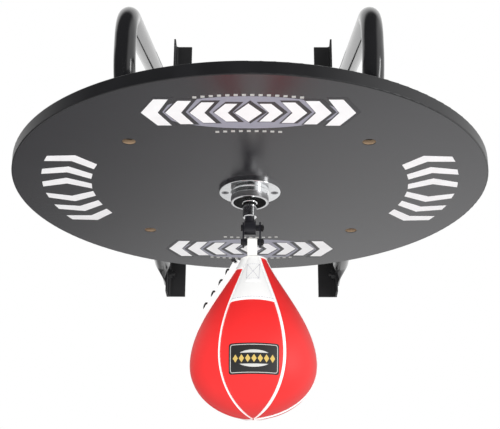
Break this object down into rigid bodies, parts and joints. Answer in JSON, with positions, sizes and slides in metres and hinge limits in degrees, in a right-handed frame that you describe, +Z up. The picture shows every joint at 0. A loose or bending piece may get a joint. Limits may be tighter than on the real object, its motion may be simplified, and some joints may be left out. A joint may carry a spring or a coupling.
{
  "type": "speed bag platform",
  "caption": "Wall-mounted striking-bag platform: a round board on two bent side tubes and wall angles, with a ball-bearing swivel, pinned link fork and laced pear-shaped bag.",
  "frame": {"origin": "centre of the four wall screw holes, in the plane of the wall", "axes": "+Y into the wall, +Z up, +X to the right of someone who faces the wall"},
  "size_m": [0.6, 0.7203, 0.7552],
  "materials": {
    "board_wood": "raw fibreboard",
    "board_face": "satin laminate",
    "board_edge": "gloss",
    "tube_paint": "gloss black",
    "angle_paint": "satin black",
    "black_hardware": "blackened",
    "chrome": "polished",
    "bearing_steel": "satin",
    "shield_rubber": "matt",
    "fork_paint": "semi-gloss black",
    "red_leather": "semi-gloss",
    "white_leather": "semi-gloss",
    "black_leather": "semi-gloss",
    "lace_cord": "matt",
    "bladder_rubber": "matt"
  },
  "bodies": {
    "frame": {"board_core": "board_wood", "face_sheet_bottom": "board_face", "face_sheet_top": "board_face", "edge_band": "board_edge", "side_tube_left": "tube_paint", "side_tube_right": "tube_paint", "wall_angle_left": "angle_paint", "wall_angle_right": "angle_paint", "board_bolt_1": "black_hardware", "board_bolt_2": "black_hardware", "board_bolt_3": "black_hardware", "board_bolt_4": "black_hardware", "board_nut_1": "black_hardware", "board_nut_2": "black_hardware", "board_nut_3": "black_hardware", "board_nut_4": "black_hardware", "frame_bolt_1": "black_hardware", "frame_bolt_2": "black_hardware", "frame_bolt_3": "black_hardware", "frame_bolt_4": "black_hardware", "frame_nut_1": "black_hardware", "frame_nut_2": "black_hardware", "frame_nut_3": "black_hardware", "frame_nut_4": "black_hardware", "swivel_housing": "chrome", "retaining_ring": "bearing_steel", "bearing_shield": "shield_rubber", "bearing_race": "bearing_steel", "bearing_balls": "bearing_steel", "flange_screw_1": "chrome", "flange_screw_2": "chrome", "flange_screw_3": "chrome", "flange_screw_4": "chrome"},
    "stem": {"stem": "chrome", "set_screw": "black_hardware", "eye_bolt": "fork_paint"},
    "fork": {"link_plate_left": "fork_paint", "link_plate_right": "fork_paint", "upper_pin": "fork_paint", "upper_nut": "fork_paint", "upper_spacer": "fork_paint", "lower_pin": "fork_paint", "lower_nut": "fork_paint", "lower_spacer_left": "fork_paint", "lower_spacer_right": "fork_paint"},
    "bag": {"hanging_loop": "white_leather", "bag_panel_1": "red_leather", "bag_panel_2": "red_leather", "bag_panel_3": "red_leather", "bag_panel_4": "red_leather", "bag_panel_5": "red_leather", "bag_panel_6": "red_leather", "bag_piping": "white_leather", "neck_patch": "white_leather", "label_patch": "black_leather", "lace_tongue": "white_leather", "lace": "lace_cord", "bladder": "bladder_rubber"}
  },
  "joints": [
    {"name": "stem_spin", "type": "hinge", "parent": "frame", "child": "stem", "pos_m": [0, -0.42, -0.257], "axis": [0, 0, 1], "continuous": true},
    {"name": "fork_swing", "type": "hinge", "parent": "stem", "child": "fork", "pos_m": [0, -0.42, -0.2795], "axis": [1, 0, 0], "range_deg": [-25, 25]},
    {"name": "bag_swing", "type": "hinge", "parent": "fork", "child": "bag", "pos_m": [0, -0.42, -0.2985], "axis": [1, 0, 0], "range_deg": [-50, 50]}
  ]
}
